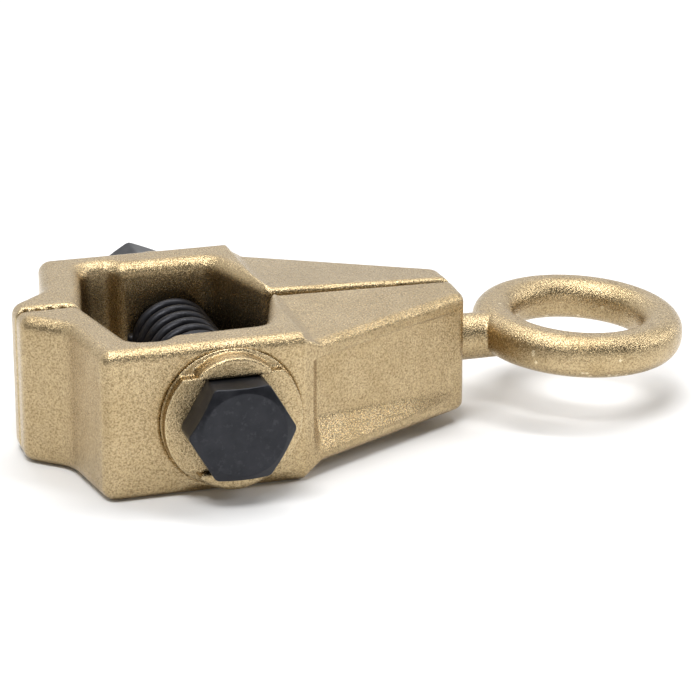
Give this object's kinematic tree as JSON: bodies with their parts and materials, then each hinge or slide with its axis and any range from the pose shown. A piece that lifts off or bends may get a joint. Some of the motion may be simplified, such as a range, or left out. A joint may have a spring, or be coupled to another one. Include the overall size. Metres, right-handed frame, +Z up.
{
  "type": "self-tightening pull clamp",
  "caption": "Forged pull clamp: serrated jaws on a spring-opened cross bolt, tails closing on a cone drawn by a swivelling ring eye.",
  "frame": {"origin": "centre of the ring's bore, half way up the clamp", "axes": "+X along the pull, from the mouth towards the ring; +Z up, across the flat of the jaws; +Y towards the nut's side"},
  "size_m": [0.2269, 0.1626, 0.0492],
  "materials": {
    "forged_gold": "metallic gold coat over a sandy forged skin",
    "black_oxide": "satin black oxide, oiled",
    "bare_steel": "turned steel, oiled"
  },
  "bodies": {
    "bolt": {"clamp_bolt": "black_oxide", "near_seat": "forged_gold", "opening_spring": "black_oxide"},
    "near_side": {"near_jaw": "forged_gold"},
    "nut_seat": {"far_seat": "forged_gold"},
    "nut": {"clamp_nut": "black_oxide"},
    "far_side": {"far_jaw": "forged_gold"},
    "cone": {"spreader_cone": "bare_steel"},
    "washer": {"thrust_washer": "bare_steel"},
    "eye": {"eye_bolt": "forged_gold", "lock_nut": "black_oxide", "lock_pin": "bare_steel"}
  },
  "joints": [
    {"name": "near_jaw_rock", "type": "hinge", "parent": "bolt", "child": "near_side", "pos_m": [-0.134, -0.08826, 0], "axis": [0, 0, 1], "range_deg": [0, 3.3]},
    {"name": "nut_seat_travel", "type": "slide", "parent": "bolt", "child": "nut_seat", "axis": [0, 1, 0], "range_m": [0, 0.0097], "deforming": ["opening_spring"]},
    {"name": "nut_turn", "type": "hinge", "parent": "nut_seat", "child": "nut", "pos_m": [-0.134, 0.06, 0], "axis": [0, 1, 0], "range_deg": [0, 1400]},
    {"name": "far_jaw_rock", "type": "hinge", "parent": "nut_seat", "child": "far_side", "pos_m": [-0.134, 0.08826, 0], "axis": [0, 0, 1], "range_deg": [-3.3, 0]},
    {"name": "tail_swing", "type": "hinge", "parent": "near_side", "child": "cone", "pos_m": [-0.047, 0, 0], "axis": [0, 0, 1], "range_deg": [-3.3, 0]},
    {"name": "shank_float", "type": "slide", "parent": "cone", "child": "washer", "axis": [1, 0, 0], "range_m": [-0.003, 0]},
    {"name": "ring_swivel", "type": "hinge", "parent": "washer", "child": "eye", "pos_m": [0, 0, 0], "axis": [1, 0, 0], "continuous": true}
  ],
  "couplings": [
    {"joint": "nut_turn", "follows": "nut_seat_travel", "rad_per_m": 2513.3},
    {"joint": "near_jaw_rock", "follows": "nut_seat_travel", "rad_per_m": 5.9227},
    {"joint": "far_jaw_rock", "follows": "nut_seat_travel", "rad_per_m": -5.9227},
    {"joint": "tail_swing", "follows": "nut_seat_travel", "rad_per_m": -5.9227}
  ]
}
